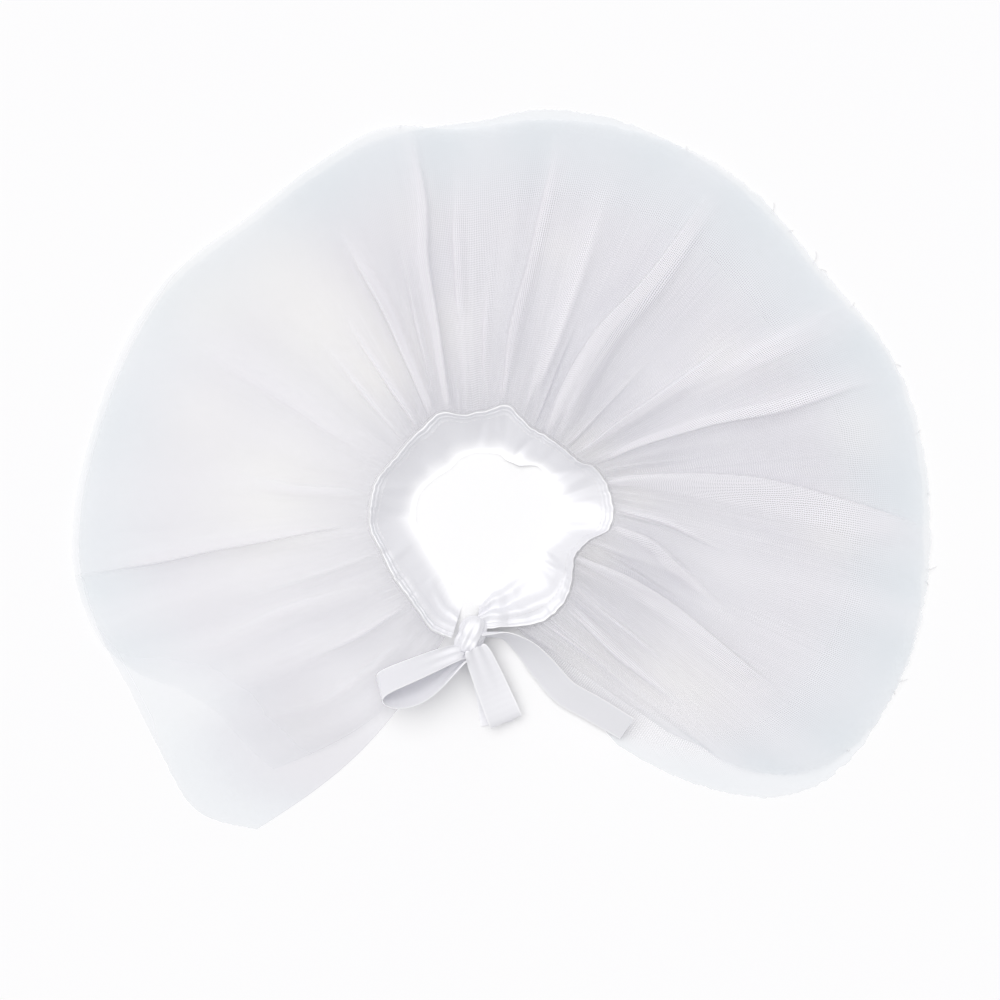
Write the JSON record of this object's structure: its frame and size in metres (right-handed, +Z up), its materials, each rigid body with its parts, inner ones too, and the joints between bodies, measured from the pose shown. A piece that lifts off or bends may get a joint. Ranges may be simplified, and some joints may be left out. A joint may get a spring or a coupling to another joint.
{
  "type": "dog tutu skirt",
  "caption": "Pet tutu skirt laid flat: layers of gathered white tulle fanned out round a satin ribbon waistband that is tied in a bow at the front.",
  "frame": {"origin": "middle of the laid-out skirt's outline, on the surface it lies on", "axes": "+X to the right with the bow nearest the viewer, +Y away from the bow, +Z up from the surface"},
  "size_m": [0.4749, 0.3993, 0.0253],
  "materials": {
    "tulle": "sheer net",
    "satin": "satin"
  },
  "bodies": {
    "root": {"skirt_under": "tulle", "skirt_top": "tulle", "waistband": "satin", "bow_knot": "satin", "bow_loop_left": "satin", "bow_loop_middle": "satin", "tie_tail_middle": "satin", "tie_tail_right": "satin"}
  },
  "joints": []
}
